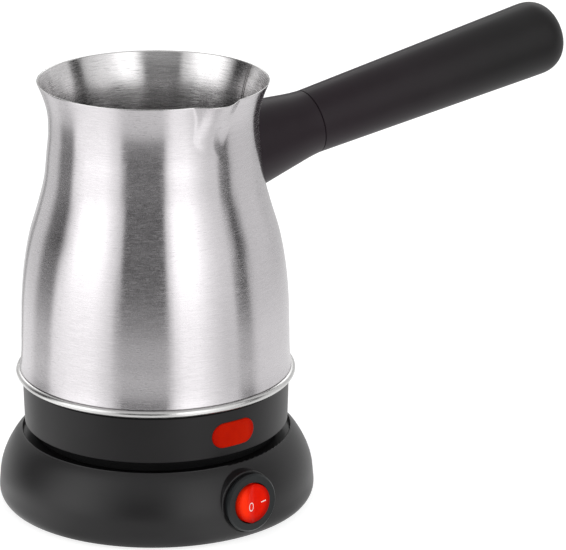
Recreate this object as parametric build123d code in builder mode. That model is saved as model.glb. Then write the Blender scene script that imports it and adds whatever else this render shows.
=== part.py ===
from build123d import *
from math import sin, cos, tan, radians, pi, sqrt
import os

# Electric turkish coffee maker: a steel pot with a heated foot that stands on a
# round powered base. Frame: +Z up, handle along +X, spout towards -Y, origin on
# the table under the centre of the base. All sizes in millimetres.

os.makedirs("parts", exist_ok=True)

# ---------------------------------------------------------------- driving sizes
RIM_LIFT = 1.2            # gap under the housing rim, made by the rubber feet
BASE_WALL = 2.4           # wall of the base housing
WELL_TOP = 27.7           # top of the recess floor that the pot stands on
WELL_T = 2.0              # thickness of that floor
SWITCH_AZ = 4.8           # switch direction, degrees from -Y towards +X
SWITCH_TILT = 4.0         # switch axis leans up by this
SWITCH_R = 65.1           # distance of the switch's datum point from the base axis
SWITCH_Z = 16.0           # height of the switch's datum point
BOSS_R = 12.5             # boss that carries the switch
BOSS_BACK = 1.9           # the boss face lies this far behind the switch's datum
FLANGE_R, FLANGE_T = 11.9, 1.4
BORE_R = 8.5              # opening in the switch that the rocker fills
ROCKER_HALF = 12.0        # rocker angle each side of its middle, degrees
LEVER_HALF = 8.0          # contact lever angle each side of its middle
LENS_AZ = 4.6             # indicator lens direction, degrees from -Y towards +X
LENS_Z = 42.35
LENS_W, LENS_H = 20.2, 10.5
POT_T = 0.7               # steel wall
POT_BOTTOM = 53.3
POT_RIM = 176.7
BEAD_R, BEAD_Z, BEAD_TUBE = 55.8, 54.8, 1.5
SPOUT_START_Z = 150.0     # the spout fades out below this height
SPOUT_OUT = 4.6           # how far the spout stands out at the rim
SPOUT_HALF = 19.0         # half width of the spout, degrees
SPOUT_AZ = 1.0
RING_TOP, RING_LOW = 52.7, 33.2
RING_R_TOP, RING_R_LOW = 54.7, 54.2
SKIRT_R = 50.0
POT_FOOT_Z = 27.75
HANDLE_TILT = 10.2        # handle rises by this, degrees
HANDLE_Z = 135.03         # where the handle axis meets the pot axis
SEAM_T = 74.8             # distances along the handle axis from the pot axis
GRIP_END_T = 202.0
GRIP_R0, GRIP_R1 = 13.5, 15.9
HUB_R = 15.0
SOCKET_R = 15.6

# outer radius of the steel wall against height
POT_PROFILE = [
    (53.3, 55.92), (54.9, 55.9), (60.1, 55.25), (73.4, 54.8), (88.6, 54.3),
    (101.9, 52.9), (113.3, 50.7), (124.7, 47.3), (136.1, 44.4), (146.6, 43.2),
    (156.1, 42.3), (164.7, 42.7), (171.3, 44.5), (176.7, 46.7),
]
BASE_PROFILE = [
    (63.7, 1.2), (65.07, 4.05), (64.95, 8.0), (64.5, 12.6), (63.25, 17.4),
    (61.6, 21.2), (59.4, 25.0), (57.3, 27.8), (55.62, 29.44),
]


def pot_r(z):
    """Outer radius of the plain steel wall at height z, by monotone cubic steps."""
    p = POT_PROFILE
    n = len(p)
    h = [p[i + 1][0] - p[i][0] for i in range(n - 1)]
    s = [(p[i + 1][1] - p[i][1]) / h[i] for i in range(n - 1)]
    m = [s[0]] + [(s[i - 1] * h[i] + s[i] * h[i - 1]) / (h[i - 1] + h[i]) for i in range(1, n - 1)] + [s[-1]]
    if z <= p[0][0]:
        return p[0][1]
    if z >= p[-1][0]:
        return p[-1][1] + m[-1] * (z - p[-1][0])
    i = max(k for k in range(n - 1) if p[k][0] <= z)
    t = (z - p[i][0]) / h[i]
    a = 2 * t**3 - 3 * t**2 + 1
    b = t**3 - 2 * t**2 + t
    c = -2 * t**3 + 3 * t**2
    d = t**3 - t**2
    return a * p[i][1] + b * h[i] * m[i] + c * p[i + 1][1] + d * h[i] * m[i + 1]


def spout(z, az):
    """How far the spout stands out at height z and azimuth az (degrees from -Y)."""
    if z <= SPOUT_START_Z or abs(az - SPOUT_AZ) >= SPOUT_HALF:
        return 0.0
    up = (z - SPOUT_START_Z) / (POT_RIM - SPOUT_START_Z)
    side = cos(radians(90.0 * (az - SPOUT_AZ) / SPOUT_HALF)) ** 2
    return SPOUT_OUT * up**1.6 * side


def section(z, inset):
    """Points round one level of the wall, closer together at the spout."""
    steps = [-180 + 15 * i for i in range(9)] + [-45, -36, -29, -24, -20, -16, -12, -8, -4, 0]
    steps += [-a for a in reversed(steps[1:-1])]
    pts = []
    for az in steps:
        r = pot_r(z) + spout(z, az) - inset
        pts.append((r * sin(radians(az)), -r * cos(radians(az))))
    return pts


def az_plane(az, r=0.0, z=0.0, tilt=0.0):
    """Plane whose normal looks outwards at azimuth az, leaning up by tilt."""
    a, t = radians(az), radians(tilt)
    return Plane(
        origin=(r * sin(a), -r * cos(a), z),
        x_dir=(cos(a), sin(a), 0),
        z_dir=(sin(a) * cos(t), -cos(a) * cos(t), sin(t)),
    )


def turned(plane, deg):
    """The plane turned about its own y direction by deg."""
    c, s = cos(radians(deg)), sin(radians(deg))
    return Plane(
        origin=plane.origin,
        x_dir=plane.x_dir * c - plane.z_dir * s,
        z_dir=plane.z_dir * c + plane.x_dir * s,
    )


def at(az, r):
    """Point in plan at azimuth az and radius r."""
    return (r * sin(radians(az)), -r * cos(radians(az)))


SCREW_AZ = (75.0, 195.0, 315.0)     # base screws
FOOT_AZ = (30.0, 120.0, 210.0, 300.0)
STUD_AZ = (90.0, 210.0, 330.0)      # studs under the pot

# =================================================================== BASE GROUP
sw = az_plane(SWITCH_AZ, SWITCH_R, SWITCH_Z, SWITCH_TILT)
lv0 = Plane(origin=sw.origin - sw.z_dir * 9.0, x_dir=sw.x_dir, z_dir=sw.z_dir)

# ------------------------------------------------------------------ base housing
with BuildPart() as base_housing:
    with BuildSketch(Plane.XZ):
        with BuildLine():
            Polyline((0, 29.5), (0, 1.2), BASE_PROFILE[0])
            Spline(*BASE_PROFILE)
            ThreePointArc(BASE_PROFILE[-1], (55.37, 29.76), (55.12, 29.5))
            Line((55.12, 29.5), (0, 29.5))
        make_face()
    revolve(axis=Axis.Z)
    # round boss that carries the switch
    with BuildSketch(Plane(origin=sw.origin, x_dir=sw.x_dir, z_dir=-sw.y_dir)):
        with BuildLine():
            Polyline((BOSS_R - 0.5, -BOSS_BACK), (0, -BOSS_BACK), (0, -19), (BOSS_R, -19), (BOSS_R, -BOSS_BACK - 0.5))
            RadiusArc((BOSS_R, -BOSS_BACK - 0.5), (BOSS_R - 0.5, -BOSS_BACK), -0.5)
        make_face()
    revolve(axis=Axis(sw.origin, sw.z_dir))
    # flat seat that the switch stands on
    with BuildSketch(sw.offset(-BOSS_BACK)):
        Circle(BOSS_R)
    extrude(amount=8, mode=Mode.SUBTRACT)
    # recess for the pot
    with BuildSketch(Plane.XZ):
        with BuildLine():
            Polyline((0, WELL_TOP), (54.9, WELL_TOP), (55.12, 29.5), (55.12, 32), (0, 32), close=True)
        make_face()
    revolve(axis=Axis.Z, mode=Mode.SUBTRACT)
    # hollow underneath
    with BuildSketch(Plane.XZ):
        with BuildLine():
            Polyline((0, 0), (62.0, 0), (62.0, 4.2), (62.6, 4.8), (62.5, 8), (62.0, 12.6), (60.8, 17.0),
                     (59.1, 20.8), (57.0, 24.0), (55.6, WELL_TOP - WELL_T), (0, WELL_TOP - WELL_T), close=True)
        make_face()
    revolve(axis=Axis.Z, mode=Mode.SUBTRACT)
    # hole for the connector hub
    with BuildSketch(Plane.XY.offset(24)):
        Circle(17.0)
    extrude(amount=6, mode=Mode.SUBTRACT)
    # screw bosses
    with BuildSketch(Plane.XY.offset(5.6)):
        with Locations(*[at(a, 44.0) for a in SCREW_AZ]):
            Circle(3.6)
    extrude(amount=20.6)
    with BuildSketch(Plane.XY.offset(5.6)):
        with Locations(*[at(a, 44.0) for a in SCREW_AZ]):
            Circle(1.25)
    extrude(amount=14.0, mode=Mode.SUBTRACT)
    # seat for the switch
    with BuildSketch(sw):
        Circle(10.0)
    extrude(amount=-13, mode=Mode.SUBTRACT)
    # cord inlet at the back
    with BuildSketch(az_plane(180.0, 56.0, 9.5)):
        Circle(5.0)
    extrude(amount=14, mode=Mode.SUBTRACT)
base_housing.part.label = "base_housing"

# ------------------------------------------------------------------ bottom cover
with BuildPart() as base_cover:
    with BuildSketch(Plane.XY.offset(1.6)):
        Circle(61.8)
    extrude(amount=2.0)
    with BuildSketch(Plane.XY.offset(3.6)):
        with Locations(*[at(a, 44.0) for a in SCREW_AZ]):
            Circle(4.5)
        Circle(19.0)
        Circle(17.0, mode=Mode.SUBTRACT)
    extrude(amount=2.0)
    with BuildSketch(Plane.XY.offset(5.6)):
        Circle(19.0)
        Circle(17.0, mode=Mode.SUBTRACT)
    extrude(amount=17.1)
    # wire gates through the support tube
    with BuildSketch(Plane.XY.offset(6.0)):
        Rectangle(9, 60)
    extrude(amount=14.0, mode=Mode.SUBTRACT)
    with BuildSketch(Plane.XY.offset(1.6)):
        with Locations(*[at(a, 44.0) for a in SCREW_AZ]):
            Circle(3.3)
    extrude(amount=2.0, mode=Mode.SUBTRACT)
    with BuildSketch(Plane.XY.offset(1.6)):
        with Locations(*[at(a, 44.0) for a in SCREW_AZ]):
            Circle(1.7)
    extrude(amount=4.0, mode=Mode.SUBTRACT)
    with BuildSketch(Plane.XY.offset(1.6)):
        with Locations(*[at(a, 52.0) for a in FOOT_AZ]):
            Circle(6.1)
    extrude(amount=0.8, mode=Mode.SUBTRACT)
    # vent slots
    with BuildSketch(Plane.XY.offset(1.6)):
        with PolarLocations(31.0, 10, start_angle=18):
            SlotOverall(12.0, 2.2)
    extrude(amount=2.0, mode=Mode.SUBTRACT)
base_cover.part.label = "base_cover"

# ------------------------------------------------------------------- rubber feet
with BuildPart() as rubber_feet:
    with BuildSketch(Plane.XY):
        with Locations(*[at(a, 52.0) for a in FOOT_AZ]):
            Circle(6.0)
    extrude(amount=2.4)
    chamfer(rubber_feet.edges().group_by(Axis.Z)[0], 0.4)
rubber_feet.part.label = "rubber_feet"

# ------------------------------------------------------------------- base screws
with BuildPart() as base_screws:
    with BuildSketch(Plane.XY.offset(1.9)):
        with Locations(*[at(a, 44.0) for a in SCREW_AZ]):
            Circle(2.9)
    extrude(amount=1.7)
    with BuildSketch(Plane.XY.offset(3.6)):
        with Locations(*[at(a, 44.0) for a in SCREW_AZ]):
            Circle(1.5)
    extrude(amount=12.0)
    with BuildSketch(Plane.XY.offset(1.9)):
        with Locations(*[at(a, 44.0) for a in SCREW_AZ]):
            Rectangle(3.0, 0.7)
            Rectangle(0.7, 3.0)
    extrude(amount=1.0, mode=Mode.SUBTRACT)
base_screws.part.label = "base_screws"

# --------------------------------------------------------------------- cord gland
with BuildPart() as cord_gland:
    with BuildSketch(az_plane(180.0, 59.2, 9.5)):
        Circle(4.9)
    extrude(amount=6.1)
    with BuildSketch(az_plane(180.0, 65.2, 9.5)):
        Circle(6.8)
    extrude(amount=1.4)
    with BuildSketch(az_plane(180.0, 59.2, 9.5)):
        Circle(5.9)
    extrude(amount=1.5)
    with BuildSketch(az_plane(180.0, 59.0, 9.5)):
        Circle(3.2)
    extrude(amount=9, mode=Mode.SUBTRACT)
    chamfer(cord_gland.edges().filter_by(GeomType.CIRCLE).sort_by(Axis.Y)[-1], 0.5)
cord_gland.part.label = "cord_gland"

# ------------------------------------------------------------------ connector hub
with BuildPart() as connector_hub:
    with BuildSketch(Plane.XZ):
        with BuildLine():
            Polyline(
                (3.2, 22.8), (22.0, 22.8), (22.0, 25.6), (16.8, 25.6), (16.8, 28.1), (HUB_R, 28.1),
                (HUB_R, 36.2), (HUB_R - 1.0, 37.2), (13.4, 37.2), (13.4, 24.2), (11.2, 24.2),
                (11.2, 37.2), (9.6, 37.2), (9.6, 24.2), (7.3, 24.2), (7.3, 37.2), (4.2, 37.2), (3.2, 36.2),
                close=True,
            )
        make_face()
    revolve(axis=Axis.Z)
    # slots for the contact tails
    with BuildSketch(Plane.XY.offset(22.0)):
        with Locations((0, 9.25)):
            Rectangle(4.0, 0.7)
        with Locations((0, -13.05)):
            Rectangle(4.0, 0.7)
    extrude(amount=3.0, mode=Mode.SUBTRACT)
connector_hub.part.label = "connector_hub"

with BuildPart() as hub_live_contact:
    with BuildSketch(Plane.XZ):
        with BuildLine():
            Polyline((2.4, 20.0), (3.2, 20.0), (3.2, 35.8), (2.4, 35.8), close=True)
        make_face()
    revolve(axis=Axis.Z)
hub_live_contact.part.label = "hub_live_contact"

with BuildPart() as hub_neutral_contact:
    with BuildSketch(Plane.XZ):
        with BuildLine():
            Polyline((8.9, 24.2), (9.6, 24.2), (9.6, 36.4), (8.9, 36.4), close=True)
        make_face()
    revolve(axis=Axis.Z)
    with BuildSketch(Plane.XY.offset(18.5)):
        with Locations((0, 9.25)):
            Rectangle(4.0, 0.7)
    extrude(amount=6.2)
hub_neutral_contact.part.label = "hub_neutral_contact"

with BuildPart() as hub_earth_contact:
    with BuildSketch(Plane.XZ):
        with BuildLine():
            Polyline((12.7, 24.2), (13.4, 24.2), (13.4, 36.4), (12.7, 36.4), close=True)
        make_face()
    revolve(axis=Axis.Z)
    with BuildSketch(Plane.XY.offset(18.5)):
        with Locations((0, -13.05)):
            Rectangle(4.0, 0.7)
    extrude(amount=6.2)
hub_earth_contact.part.label = "hub_earth_contact"

# ----------------------------------------------------------------- switch housing
with BuildPart() as switch_housing:
    with BuildSketch(sw):
        Circle(FLANGE_R)
    extrude(amount=FLANGE_T)
    chamfer(switch_housing.edges().filter_by(GeomType.CIRCLE).sort_by(Axis(sw.origin, sw.z_dir))[-1], 0.7)
    chamfer(switch_housing.edges().filter_by(GeomType.CIRCLE).sort_by(Axis(sw.origin, sw.z_dir))[0], 0.3)
    with BuildSketch(sw):
        Circle(FLANGE_R - 0.9)
    extrude(amount=-BOSS_BACK)
    with BuildSketch(sw):
        Circle(9.9)
    extrude(amount=-5.6)
    with BuildSketch(sw.offset(-5.6)):
        Circle(9.4)
    extrude(amount=-8.4)
    with BuildSketch(sw.offset(FLANGE_T)):
        Circle(BORE_R)
    extrude(amount=-(FLANGE_T + 5.6), mode=Mode.SUBTRACT)
    with BuildSketch(sw.offset(-5.6)):
        Circle(8.3)
    extrude(amount=-6.9, mode=Mode.SUBTRACT)
    # bearing holes for the rocker
    with BuildSketch(Plane(origin=sw.origin, x_dir=sw.x_dir, z_dir=sw.y_dir)):
        Circle(1.25)
    extrude(amount=9.8, both=True, mode=Mode.SUBTRACT)
    # slots for the two terminals
    with BuildSketch(sw.offset(-12.0)):
        Rectangle(0.8, 4.8)
        with Locations((-5.8, 0)):
            Rectangle(0.8, 4.8)
    extrude(amount=-3.0, mode=Mode.SUBTRACT)
switch_housing.part.label = "switch_housing"

with BuildPart() as switch_terminal_in:
    with BuildSketch(sw.offset(-9.6)):
        Rectangle(0.8, 4.8)
    extrude(amount=-11.36)
    # two notched ears that carry the side pins of the contact lever
    for side in (1, -1):
        with BuildSketch(Plane(origin=lv0.origin + lv0.y_dir * 1.85 * side, x_dir=lv0.x_dir * -side, z_dir=lv0.y_dir * side)):
            with Locations((0, -0.62)):
                Rectangle(1.9, 1.3)
        extrude(amount=0.55)
    with BuildSketch(Plane(origin=lv0.origin, x_dir=lv0.x_dir, z_dir=lv0.y_dir)):
        Circle(0.58)
    extrude(amount=3, both=True, mode=Mode.SUBTRACT)
switch_terminal_in.part.label = "switch_terminal_in"

with BuildPart() as switch_terminal_out:
    with BuildSketch(sw.offset(-11.0)):
        with Locations((-5.8, 0)):
            Rectangle(0.8, 4.8)
    extrude(amount=-10.0)
    with BuildSketch(sw.offset(-11.0)):
        with Locations((-5.0, 0)):
            Rectangle(2.4, 4.8)
    extrude(amount=-0.8)
    with BuildSketch(sw.offset(-11.0)):
        with Locations((-4.95, 0)):
            Circle(1.0)
    extrude(amount=0.4)
switch_terminal_out.part.label = "switch_terminal_out"

# ------------------------------------------------------------------------- rocker
# the rocker rests with its right-hand side pressed in, turned about the upright
# axis of the switch from its middle position
rk = turned(sw, ROCKER_HALF)
rk_side = Plane(origin=rk.origin, x_dir=rk.x_dir, z_dir=-rk.y_dir)
rise = tan(radians(ROCKER_HALF))
with BuildPart() as rocker:
    with BuildSketch(rk_side):
        with BuildLine():
            Polyline((0, -3.6), (7.5, -3.6), (8.2, 0), (7.45, 4.6), (0, 4.6), close=True)
        make_face()
    revolve(axis=Axis(rk.origin, rk.z_dir))
    with BuildSketch(rk_side):
        with BuildLine():
            Polyline((-12, 2.05 + 12 * rise), (-0.6, 2.17), (0.6, 2.17), (12, 2.05 + 12 * rise), (12, 9), (-12, 9), close=True)
        make_face()
    extrude(amount=12, both=True, mode=Mode.SUBTRACT)
    # sloping shoulder at the raised end
    with BuildSketch(rk_side):
        with BuildLine():
            Polyline((5.0, -7), (19.04, -7), (19.04, -0.4), (12.29, 5.0), (5.0, 5.0), close=True)
        make_face()
    revolve(axis=Axis(rk.origin + rk.x_dir * 5.0, rk.z_dir), mode=Mode.INTERSECT)
    with BuildSketch(rk_side):
        with BuildLine():
            Polyline((0, -4), (6.4, -4), (6.9, -0.5), (6.6, 0.9), (0, 0.9), close=True)
        make_face()
    revolve(axis=Axis(rk.origin, rk.z_dir), mode=Mode.SUBTRACT)
    with BuildSketch(rk.offset(1.2)):
        Circle(2.5)
    extrude(amount=-6.6)
    with BuildSketch(rk.offset(-6.0)):
        Circle(1.65)
    extrude(amount=5.6, mode=Mode.SUBTRACT)
    # trunnions
    with BuildSketch(Plane(origin=rk.origin + rk.y_dir * 7.2, x_dir=rk.x_dir, z_dir=rk.y_dir)):
        Circle(1.2)
    extrude(amount=2.45)
    with BuildSketch(Plane(origin=rk.origin - rk.y_dir * 7.2, x_dir=rk.x_dir, z_dir=-rk.y_dir)):
        Circle(1.2)
    extrude(amount=2.45)
rocker.part.label = "rocker"

with BuildPart() as rocker_plunger:
    with BuildSketch(rk.offset(-4.6)):
        Circle(1.6)
    extrude(amount=-3.4)
    with BuildSketch(rk.offset(-7.6)):
        Circle(1.1)
    extrude(amount=-1.0)
rocker_plunger.part.label = "rocker_plunger"

# compression spring between the rocker and its plunger
with BuildPart() as rocker_spring:
    with BuildLine() as coil:
        Helix(pitch=0.94, height=3.76, radius=1.2, center=tuple(rk.origin - rk.z_dir * 4.38), direction=tuple(rk.z_dir))
    with BuildSketch(Plane(origin=coil.line @ 0, z_dir=coil.line % 0)):
        Circle(0.18)
    sweep()
rocker_spring.part.label = "rocker_spring"

# ------------------------------------------------------------------ contact lever
lv = turned(lv0, -LEVER_HALF)
with BuildPart() as contact_lever:
    with BuildSketch(lv.offset(-0.3)):
        Rectangle(11.2, 3.4)
    extrude(amount=0.6)
    with BuildSketch(lv.offset(-0.3)):
        with Locations((-4.95, 0)):
            Circle(1.0)
    extrude(amount=-0.4)
    # side pins that the lever rocks on
    with BuildSketch(Plane(origin=lv.origin + lv.y_dir * 1.6, x_dir=lv.x_dir, z_dir=lv.y_dir)):
        Circle(0.5)
    extrude(amount=0.8)
    with BuildSketch(Plane(origin=lv.origin - lv.y_dir * 1.6, x_dir=lv.x_dir, z_dir=-lv.y_dir)):
        Circle(0.5)
    extrude(amount=0.8)
contact_lever.part.label = "contact_lever"

# --------------------------------------------------------------------- base wires


t_in = sw.from_local_coords(Vector(0, 0, -21.2))
t_out = sw.from_local_coords(Vector(-5.8, 0, -21.2))

with BuildPart() as base_wire_live:
    with BuildLine() as live_path:
        FilletPolyline((1.6, 59.0, 9.5), (9, 50, 9.0), (34, 36, 8.5), (51, 8, 8.5), (49.5, -20, 8.5),
                       (34, -42, 10.5), (16, -47.5, 13.0), (t_in.X + 1.5, t_in.Y - 0.3, t_in.Z), radius=3.0)
    with BuildSketch(Plane(origin=live_path.line @ 0, z_dir=live_path.line % 0)):
        Circle(1.1)
    sweep()
base_wire_live.part.label = "base_wire_live"

with BuildPart() as base_wire_neutral:
    with BuildLine() as neutral_path:
        FilletPolyline((-1.6, 59.0, 9.5), (-4, 44, 9.5), (-1.5, 26, 9.5), (0, 15, 12.0), (0, 9.25, 17.4), radius=3.0)
    with BuildSketch(Plane(origin=neutral_path.line @ 0, z_dir=neutral_path.line % 0)):
        Circle(1.1)
    sweep()
base_wire_neutral.part.label = "base_wire_neutral"

with BuildPart() as base_wire_load:
    with BuildLine() as load_path:
        FilletPolyline((t_out.X, t_out.Y + 0.4, t_out.Z), (t_out.X, t_out.Y + 8, 12.0), (0, -26, 11.0), (0, -8, 11.5),
                       (0, 0, 14.5), (0, 0, 19.4), radius=2.6)
    with BuildSketch(Plane(origin=load_path.line @ 0, z_dir=load_path.line % 0)):
        Circle(1.1)
    sweep()
base_wire_load.part.label = "base_wire_load"

# ==================================================================== POT GROUP

# ---------------------------------------------------------------- steel pot wall
LEVELS = [53.3, 56.5, 60.1, 73.4, 88.6, 101.9, 113.3, 124.7, 136.1, 146.6, 152.0, 157.0, 162.0, 167.0, 172.0, 176.7]
with BuildPart() as pot_shell:
    for z in LEVELS:
        with BuildSketch(Plane.XY.offset(z)):
            with BuildLine():
                Spline(*section(z, 0.0), periodic=True)
            make_face()
    loft()
with BuildPart() as pot_void:
    for z in [52.8] + LEVELS[1:-1] + [177.4]:
        with BuildSketch(Plane.XY.offset(z)):
            with BuildLine():
                Spline(*section(z, POT_T), periodic=True)
            make_face()
    loft()
with BuildPart() as pot_wall:
    add(pot_shell.part)
    # rolled bead
    with BuildSketch(Plane.XZ):
        with Locations((BEAD_R, BEAD_Z)):
            Circle(BEAD_TUBE)
    revolve(axis=Axis.Z)
    add(pot_void.part, mode=Mode.SUBTRACT)
pot_wall.part.label = "pot_shell"

# ---------------------------------------------------------------------- pot floor
with BuildPart() as pot_floor:
    with BuildSketch(Plane.XZ):
        with BuildLine():
            Polyline((0, 56.4), (53.6, 56.4), (54.3, 55.7), (54.3, 53.6), (55.0, 53.6), (55.0, 55.9),
                     (53.8, 57.2), (0, 57.2), close=True)
        make_face()
    revolve(axis=Axis.Z)
pot_floor.part.label = "pot_floor"

with BuildPart() as pot_gasket:
    with BuildSketch(Plane.XY.offset(RING_TOP)):
        Circle(54.6)
        Circle(52.4, mode=Mode.SUBTRACT)
    extrude(amount=0.9)
pot_gasket.part.label = "pot_gasket"

# ------------------------------------------------------------------- plastic ring
lens_plane = az_plane(LENS_AZ, 48.0, LENS_Z)
with BuildPart() as pot_ring:
    with BuildSketch(Plane.XZ):
        with BuildLine():
            Polyline((48.4, RING_LOW), (RING_R_LOW - 0.5, RING_LOW), (RING_R_LOW, RING_LOW + 0.5),
                     (RING_R_TOP, RING_TOP - 0.6), (RING_R_TOP - 0.6, RING_TOP), (52.2, RING_TOP),
                     (52.2, RING_LOW + 2.0), (48.4, RING_LOW + 2.0), close=True)
        make_face()
    revolve(axis=Axis.Z)
    with BuildSketch(lens_plane):
        SlotOverall(LENS_W + 0.2, LENS_H + 0.2)
    extrude(amount=10, mode=Mode.SUBTRACT)
pot_ring.part.label = "pot_ring"

with BuildPart() as indicator_lens:
    with BuildSketch(Plane.XZ):
        with BuildLine():
            Polyline((51.2, 33), (54.85, 33), (54.95, 50), (51.2, 50), close=True)
        make_face()
    revolve(axis=Axis.Z)
    with BuildSketch(lens_plane):
        SlotOverall(LENS_W, LENS_H)
    extrude(amount=10, mode=Mode.INTERSECT)
    fillet(indicator_lens.faces().sort_by(Axis(lens_plane.origin, lens_plane.z_dir))[-1].edges(), 0.45)
indicator_lens.part.label = "indicator_lens"

with BuildPart() as neon_lamp:
    with BuildSketch(Plane(origin=az_plane(LENS_AZ, 47.4, LENS_Z).origin, x_dir=(0, 0, 1), z_dir=(cos(radians(LENS_AZ)), sin(radians(LENS_AZ)), 0))):
        Circle(2.6)
    extrude(amount=5.5, both=True)
    fillet(neon_lamp.edges().filter_by(GeomType.CIRCLE), 1.2)
neon_lamp.part.label = "neon_lamp"

# ------------------------------------------------------------- pot bottom closure
with BuildPart() as pot_base_cover:
    with BuildSketch(Plane.XZ):
        with BuildLine():
            Polyline((18.1, 28.2), (46.0, 28.2), (46.0, POT_FOOT_Z), (49.2, POT_FOOT_Z), (SKIRT_R, 28.6),
                     (SKIRT_R, RING_LOW), (47.8, RING_LOW), (47.8, 30.4), (20.6, 30.4), (20.6, 35.4), (18.1, 35.4), close=True)
        make_face()
    revolve(axis=Axis.Z)
    with BuildSketch(Plane.XY.offset(28.2)):
        with Locations(*[at(a, 42.5) for a in STUD_AZ]):
            Circle(4.6)
    extrude(amount=15.8)
    with BuildSketch(Plane.XY.offset(27.0)):
        with Locations(*[at(a, 42.5) for a in STUD_AZ]):
            Circle(3.4)
    extrude(amount=11.0, mode=Mode.SUBTRACT)
    with BuildSketch(Plane.XY.offset(27.0)):
        with Locations(*[at(a, 42.5) for a in STUD_AZ]):
            Circle(1.8)
    extrude(amount=20.0, mode=Mode.SUBTRACT)
pot_base_cover.part.label = "pot_base_cover"

with BuildPart() as pot_studs:
    with BuildSketch(Plane.XY.offset(44.0)):
        with Locations(*[at(a, 42.5) for a in STUD_AZ]):
            RegularPolygon(3.6, 6)
    extrude(amount=12.4)
    with BuildSketch(Plane.XY.offset(44.0)):
        with Locations(*[at(a, 42.5) for a in STUD_AZ]):
            Circle(1.4)
    extrude(amount=9.0, mode=Mode.SUBTRACT)
pot_studs.part.label = "pot_studs"

with BuildPart() as pot_screws:
    with BuildSketch(Plane.XY.offset(36.2)):
        with Locations(*[at(a, 42.5) for a in STUD_AZ]):
            Circle(3.0)
    extrude(amount=1.8)
    with BuildSketch(Plane.XY.offset(38.0)):
        with Locations(*[at(a, 42.5) for a in STUD_AZ]):
            Circle(1.7)
    extrude(amount=6.0)
    with BuildSketch(Plane.XY.offset(44.0)):
        with Locations(*[at(a, 42.5) for a in STUD_AZ]):
            Circle(1.6)
    extrude(amount=7.5)
    with BuildSketch(Plane.XY.offset(36.2)):
        with Locations(*[at(a, 42.5) for a in STUD_AZ]):
            Rectangle(3.2, 0.7)
            Rectangle(0.7, 3.2)
    extrude(amount=1.1, mode=Mode.SUBTRACT)
pot_screws.part.label = "pot_screws"

# ----------------------------------------------------------------------- heating
with BuildPart() as heat_plate:
    with BuildSketch(Plane.XY.offset(52.9)):
        Circle(37.0)
    extrude(amount=3.5)
    fillet(heat_plate.edges().group_by(Axis.Z)[0], 0.8)
heat_plate.part.label = "heat_plate"

with BuildPart() as heating_element:
    with BuildSketch(Plane(origin=(0, 0, 0), x_dir=(sin(radians(207)), -cos(radians(207)), 0), z_dir=(-cos(radians(207)), -sin(radians(207)), 0))):
        with Locations((30.0, 49.9)):
            Circle(3.25)
        with Locations((30.0, 54.9)):
            Rectangle(8.0, 4.0, mode=Mode.SUBTRACT)
    revolve(axis=Axis.Z, revolution_arc=306)
    with BuildSketch(Plane.XY.offset(49.0)):
        with Locations(at(153.0, 30.0), at(207.0, 30.0)):
            Circle(3.0)
    extrude(amount=-5.0)
    with BuildSketch(Plane.XY.offset(44.0)):
        with Locations(at(153.0, 30.0), at(207.0, 30.0)):
            Circle(1.2)
    extrude(amount=-4.5)
heating_element.part.label = "heating_element"

with BuildPart() as thermostat:
    with BuildSketch(Plane.XY.offset(46.6)):
        Circle(9.0)
    extrude(amount=4.6)
    with BuildSketch(Plane.XY.offset(51.2)):
        Circle(7.0)
    extrude(amount=1.7)
    with BuildSketch(Plane.XY.offset(48.4)):
        with Locations((11.5, 0), (-11.5, 0)):
            Rectangle(7.0, 4.8)
    extrude(amount=0.8)
thermostat.part.label = "thermostat"

with BuildPart() as thermal_fuse:
    with BuildSketch(Plane(origin=(-5.5, 19.6, 50.6), z_dir=(1, 0, 0))):
        Circle(2.1)
    extrude(amount=11.0)
    with BuildSketch(Plane(origin=(-9.0, 19.6, 50.6), z_dir=(1, 0, 0))):
        Circle(0.5)
    extrude(amount=18.0)
thermal_fuse.part.label = "thermal_fuse"

# ----------------------------------------------------------- connector in the pot
with BuildPart() as pot_socket:
    with BuildSketch(Plane.XZ):
        with BuildLine():
            Polyline((2.0, 38.2), (SOCKET_R, 38.2), (SOCKET_R, 28.6), (SOCKET_R + 0.4, 28.2), (18.0, 28.2), (18.0, 35.5), (20.8, 35.5),
                     (20.8, 37.6), (18.0, 37.6), (18.0, 40.8), (2.0, 40.8), close=True)
        make_face()
    revolve(axis=Axis.Z)
    with BuildSketch(Plane.XY.offset(38.2)):
        Circle(8.5)
        Circle(7.9, mode=Mode.SUBTRACT)
        Circle(12.2)
        Circle(11.6, mode=Mode.SUBTRACT)
        Circle(8.5, mode=Mode.SUBTRACT)
    extrude(amount=0.01)
    with BuildSketch(Plane.XY.offset(38.0)):
        with Locations((8.2, 0)):
            Rectangle(0.6, 4.0)
        with Locations((-11.9, 0)):
            Rectangle(0.6, 4.0)
    extrude(amount=3.5, mode=Mode.SUBTRACT)
pot_socket.part.label = "pot_socket"

with BuildPart() as socket_pin:
    with BuildSketch(Plane.XZ):
        with BuildLine():
            Polyline((0, 29.4), (1.2, 29.4), (2.0, 30.4), (2.0, 43.0), (0, 43.0), close=True)
        make_face()
    revolve(axis=Axis.Z)
socket_pin.part.label = "socket_pin"

with BuildPart() as socket_ring_neutral:
    with BuildSketch(Plane.XZ):
        with BuildLine():
            Polyline((7.9, 30.4), (8.5, 30.4), (8.5, 38.2), (7.9, 38.2), close=True)
        make_face()
    revolve(axis=Axis.Z)
    with BuildSketch(Plane.XY.offset(37.8)):
        with Locations((8.2, 0)):
            Rectangle(0.6, 4.0)
    extrude(amount=6.2)
socket_ring_neutral.part.label = "socket_ring_neutral"

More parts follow.
